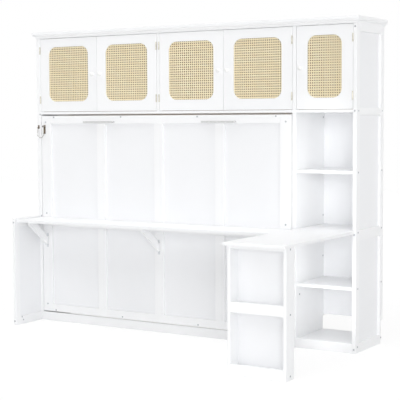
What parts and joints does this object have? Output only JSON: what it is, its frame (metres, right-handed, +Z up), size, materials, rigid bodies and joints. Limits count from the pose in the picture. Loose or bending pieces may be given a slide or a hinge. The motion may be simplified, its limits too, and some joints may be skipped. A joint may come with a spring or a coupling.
{
  "type": "wall bed with fold down desk",
  "caption": "White wall bed that closes into a panelled front with a fold-down desk, cane-door cupboards above, an open shelf bay and a return desk on an end rack.",
  "frame": {"origin": "centre of the bounding box at floor level", "axes": "+X along the width towards the shelf bay, +Y to the wall behind the bed, +Z up"},
  "size_m": [2.5586, 1.354, 2.086],
  "materials": {
    "white_paint": "satin white paint on solid wood boards",
    "white_panel": "satin white paint on thin board",
    "cane": "woven natural cane webbing",
    "brass": "polished",
    "bolt_steel": "zinc plated socket heads",
    "fitting_steel": "zinc plated",
    "satin_grey": "satin",
    "plywood": "unpainted plywood",
    "pine": "planed softwood"
  },
  "bodies": {
    "cabinet": {"side_posts": "white_paint", "side_rails": "white_paint", "side_panels": "white_panel", "divider_panel": "white_paint", "cupboard_floor_boards": "white_paint", "cupboard_top_boards": "white_paint", "cupboard_partition": "white_paint", "front_top_rails": "white_paint", "upper_back_panel": "plywood", "bay_back_panel": "white_panel", "back_stretchers": "white_paint", "plinth_rails": "white_paint", "bay_shelves": "white_paint", "crown_board": "white_paint", "crown_cove_front": "white_paint", "crown_cove_sides": "white_paint", "return_desk_top": "white_paint", "support_cleats": "white_paint", "rack_sides": "white_paint", "rack_shelves": "white_paint", "rack_rails": "white_paint", "rack_back_panel": "white_panel", "cabinet_bolts": "bolt_steel", "cabinet_brassware": "brass", "pivot_plates": "fitting_steel"},
    "bed": {"bed_outer_stiles": "white_paint", "bed_face_rails": "white_paint", "bed_inner_stiles": "white_paint", "bed_face_panels": "white_panel", "bed_side_rails": "white_paint", "bed_end_rails": "white_paint", "slat_ledges": "pine", "slats": "pine", "bed_handles": "satin_grey", "bed_bolts": "bolt_steel", "pivot_bushes": "brass", "latch_plate": "brass", "desk_and_brace_hinges": "fitting_steel"},
    "desk": {"desk_board": "white_paint", "desk_hinge_pins": "fitting_steel"},
    "brace_left": {"brace_left": "white_paint"},
    "brace_middle": {"brace_middle": "white_paint"},
    "brace_right": {"brace_right": "white_paint"},
    "latch": {"latch_hook": "fitting_steel"},
    "door_1": {"door_1_frame": "white_paint", "door_1_cane": "cane", "door_1_fittings": "brass"},
    "door_2": {"door_2_frame": "white_paint", "door_2_cane": "cane", "door_2_fittings": "brass"},
    "door_3": {"door_3_frame": "white_paint", "door_3_cane": "cane", "door_3_fittings": "brass"},
    "door_4": {"door_4_frame": "white_paint", "door_4_cane": "cane", "door_4_fittings": "brass"},
    "door_5": {"door_5_frame": "white_paint", "door_5_cane": "cane", "door_5_fittings": "brass"}
  },
  "joints": [
    {"name": "bed_fold", "type": "hinge", "parent": "cabinet", "child": "bed", "pos_m": [-0.20325, 0.309, 0.357], "axis": [1, 0, 0], "range_deg": [0, 90]},
    {"name": "desk_fold", "type": "hinge", "parent": "bed", "child": "desk", "pos_m": [-0.20325, 0.242, 0.7505], "axis": [-1, 0, 0], "range_deg": [0, 90]},
    {"name": "brace_left_swing", "type": "hinge", "parent": "bed", "child": "brace_left", "pos_m": [-1.17425, 0.2385, 0.588], "axis": [0, 0, 1], "range_deg": [0, 90]},
    {"name": "brace_middle_swing", "type": "hinge", "parent": "bed", "child": "brace_middle", "pos_m": [-0.20325, 0.2385, 0.588], "axis": [0, 0, 1], "range_deg": [0, 90]},
    {"name": "brace_right_swing", "type": "hinge", "parent": "bed", "child": "brace_right", "pos_m": [0.76775, 0.2385, 0.588], "axis": [0, 0, -1], "range_deg": [0, 90]},
    {"name": "latch_swing", "type": "hinge", "parent": "bed", "child": "latch", "pos_m": [-1.18925, 0.233, 1.412], "axis": [0, -1, 0], "range_deg": [0, 75]},
    {"name": "door_1_swing", "type": "hinge", "parent": "cabinet", "child": "door_1", "pos_m": [-1.22025, 0.2445, 1.778], "axis": [0, 0, -1], "range_deg": [0, 110]},
    {"name": "door_2_swing", "type": "hinge", "parent": "cabinet", "child": "door_2", "pos_m": [-0.21425, 0.2445, 1.778], "axis": [0, 0, 1], "range_deg": [0, 85]},
    {"name": "door_3_swing", "type": "hinge", "parent": "cabinet", "child": "door_3", "pos_m": [-0.19225, 0.2445, 1.778], "axis": [0, 0, -1], "range_deg": [0, 85]},
    {"name": "door_4_swing", "type": "hinge", "parent": "cabinet", "child": "door_4", "pos_m": [0.81375, 0.2445, 1.778], "axis": [0, 0, 1], "range_deg": [0, 110]},
    {"name": "door_5_swing", "type": "hinge", "parent": "cabinet", "child": "door_5", "pos_m": [1.23025, 0.2445, 1.778], "axis": [0, 0, 1], "range_deg": [0, 110]}
  ]
}
